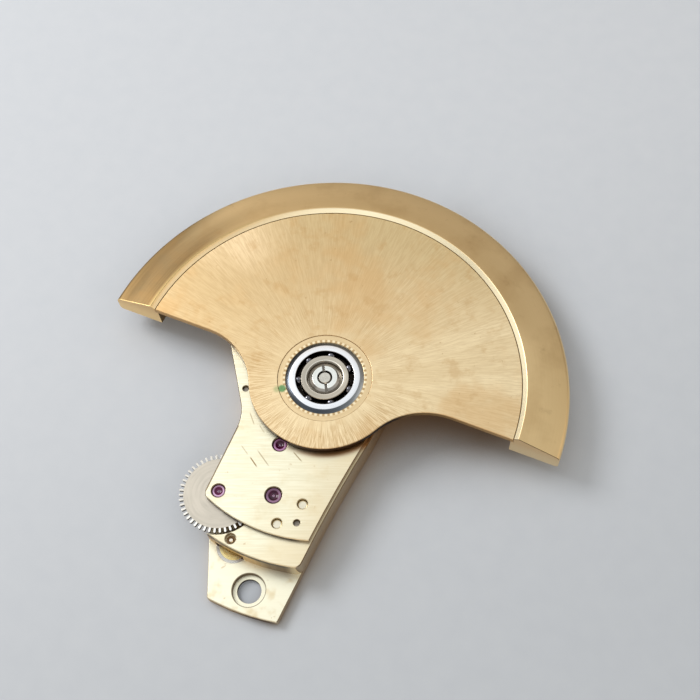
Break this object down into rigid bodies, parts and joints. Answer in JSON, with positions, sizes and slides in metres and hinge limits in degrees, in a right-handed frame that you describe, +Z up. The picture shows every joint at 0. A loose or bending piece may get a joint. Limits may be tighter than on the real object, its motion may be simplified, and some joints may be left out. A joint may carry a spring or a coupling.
{
  "type": "automatic watch rotor",
  "caption": "Half-disc winding weight on a ball bearing, over a slim bridge that carries its jewelled reduction train.",
  "frame": {"origin": "on the rotor's axis at the underside of the bridge", "axes": "+Z up along the rotor's axis to the rotor; +Y from the axis to the middle of the heavy rim at rest; -Y to the bridge's tongue"},
  "size_m": [0.025, 0.0247, 0.0028],
  "materials": {
    "bridge_metal": "brushed, pale gold plating",
    "rotor_plate_metal": "sunray brushed, gilt",
    "rotor_rim_metal": "satin turned bronze gold",
    "gold_brass": "fine turned",
    "wheel_brass": "fine turned",
    "nickel_wheel": "fine grained",
    "steel": "polished",
    "ruby": "polished synthetic ruby"
  },
  "bodies": {
    "bridge": {"base_plate": "bridge_metal", "middle_plate": "bridge_metal", "top_plate": "bridge_metal", "plate_screws": "steel", "through_screws": "steel", "steady_pins": "steel", "steady_stud": "gold_brass", "stud_ring": "steel", "bearing_post": "steel", "centre_pin": "steel", "bearing_lower_cone": "steel", "bearing_upper_cone": "steel", "bearing_screw": "steel", "reverser_upper_jewel": "ruby", "reverser_lower_jewel": "ruby", "intermediate_upper_jewel": "ruby", "intermediate_lower_jewel": "ruby", "winding_wheel_upper_jewel": "ruby", "winding_wheel_lower_jewel": "ruby"},
    "rotor": {"rotor_plate": "rotor_plate_metal", "rotor_rim": "rotor_rim_metal", "hub_bush": "gold_brass", "bearing_outer_ring": "steel", "rotor_gear": "wheel_brass"},
    "ball_set": {"bearing_balls": "steel", "ball_cage": "wheel_brass"},
    "reverser": {"reverser_wheel": "wheel_brass", "reverser_pinion": "steel", "reverser_clicks": "steel", "reverser_cover": "wheel_brass"},
    "intermediate": {"intermediate_wheel": "wheel_brass", "intermediate_pinion": "steel"},
    "winding": {"winding_wheel": "nickel_wheel", "winding_arbor": "steel"}
  },
  "joints": [
    {"name": "rotor_spin", "type": "hinge", "parent": "bridge", "child": "rotor", "pos_m": [0, 0, 0.0012], "axis": [0, 0, 1], "continuous": true},
    {"name": "ball_set_spin", "type": "hinge", "parent": "bridge", "child": "ball_set", "pos_m": [0, 0, 0.0012], "axis": [0, 0, 1], "continuous": true},
    {"name": "reverser_spin", "type": "hinge", "parent": "bridge", "child": "reverser", "pos_m": [-0.00075, -0.00404, 0.0012], "axis": [0, 0, 1], "continuous": true},
    {"name": "intermediate_spin", "type": "hinge", "parent": "bridge", "child": "intermediate", "pos_m": [0.00007, -0.0066, 0.0012], "axis": [0, 0, 1], "continuous": true},
    {"name": "winding_spin", "type": "hinge", "parent": "bridge", "child": "winding", "pos_m": [-0.00257, -0.00741, 0.0012], "axis": [0, 0, 1], "continuous": true}
  ],
  "couplings": [
    {"joint": "ball_set_spin", "follows": "rotor_spin", "ratio": 0.60037},
    {"joint": "reverser_spin", "follows": "rotor_spin", "ratio": -1.2889},
    {"joint": "intermediate_spin", "follows": "rotor_spin", "ratio": 0.29744},
    {"joint": "winding_spin", "follows": "rotor_spin", "ratio": -0.12657}
  ]
}
